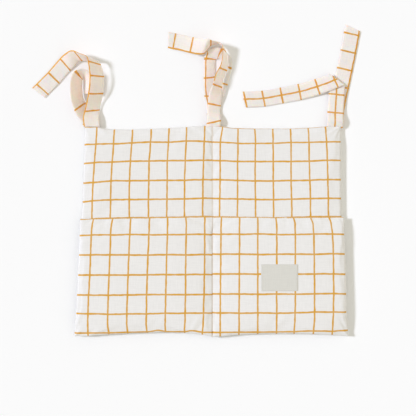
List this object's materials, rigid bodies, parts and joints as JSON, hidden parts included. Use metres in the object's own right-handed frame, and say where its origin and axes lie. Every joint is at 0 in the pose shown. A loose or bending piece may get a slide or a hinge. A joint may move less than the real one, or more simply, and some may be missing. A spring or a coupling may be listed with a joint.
{
  "type": "crib organizer",
  "caption": "Soft padded hanging organizer: a quilted panel with wide open-topped pockets, sewn down the middle, and fabric ties along its top edge.",
  "frame": {"origin": "centre of the flat back of the panel, on the surface it lies on", "axes": "+Z out of the front of the panel, +Y along the panel towards the ties, +X to the right seen from the front"},
  "size_m": [0.6303, 0.5996, 0.0329],
  "materials": {
    "printed_cotton": "matte",
    "plain_cotton": "matte",
    "wadding": "matte",
    "thread": "matte",
    "label": "matte"
  },
  "bodies": {
    "panel": {"back_cover": "plain_cotton", "panel_wadding": "wadding", "front_cover": "printed_cotton", "edge_seam_thread": "thread", "centre_seam_thread": "thread"},
    "left_pocket": {"left_pocket_lining": "plain_cotton", "left_pocket_wadding": "wadding", "left_pocket_face": "printed_cotton", "left_mouth_thread": "thread"},
    "right_pocket": {"right_pocket_lining": "plain_cotton", "right_pocket_wadding": "wadding", "right_pocket_face": "printed_cotton", "right_mouth_thread": "thread", "label": "label", "label_thread": "thread"},
    "left_back_tie": {"left_back_tie": "printed_cotton"},
    "left_front_tie": {"left_front_tie": "printed_cotton"},
    "middle_back_tie": {"middle_back_tie": "printed_cotton"},
    "middle_front_tie": {"middle_front_tie": "printed_cotton"},
    "right_back_tie": {"right_back_tie": "printed_cotton"},
    "right_front_tie": {"right_front_tie": "printed_cotton"}
  },
  "joints": [
    {"name": "left_pocket_open", "type": "hinge", "parent": "panel", "child": "left_pocket", "pos_m": [0, -0.2, 0.0086], "axis": [1, 0, 0], "range_deg": [0, 12]},
    {"name": "right_pocket_open", "type": "hinge", "parent": "panel", "child": "right_pocket", "pos_m": [0, -0.2, 0.0086], "axis": [1, 0, 0], "range_deg": [0, 12]},
    {"name": "left_back_tie_lift", "type": "hinge", "parent": "panel", "child": "left_back_tie", "pos_m": [-0.231, 0.2005, 0.0089], "axis": [1, 0, 0], "range_deg": [0, 40]},
    {"name": "left_front_tie_lift", "type": "hinge", "parent": "left_back_tie", "child": "left_front_tie", "pos_m": [-0.231, 0.2005, 0.0089], "axis": [1, 0, 0], "range_deg": [0, 50]},
    {"name": "middle_back_tie_lift", "type": "hinge", "parent": "panel", "child": "middle_back_tie", "pos_m": [0.002, 0.2005, 0.0089], "axis": [1, 0, 0], "range_deg": [0, 40]},
    {"name": "middle_front_tie_lift", "type": "hinge", "parent": "middle_back_tie", "child": "middle_front_tie", "pos_m": [0.002, 0.2005, 0.0089], "axis": [1, 0, 0], "range_deg": [0, 50]},
    {"name": "right_back_tie_lift", "type": "hinge", "parent": "panel", "child": "right_back_tie", "pos_m": [0.235, 0.2005, 0.0089], "axis": [1, 0, 0], "range_deg": [0, 40]},
    {"name": "right_front_tie_lift", "type": "hinge", "parent": "right_back_tie", "child": "right_front_tie", "pos_m": [0.235, 0.2005, 0.0089], "axis": [1, 0, 0], "range_deg": [0, 50]}
  ]
}
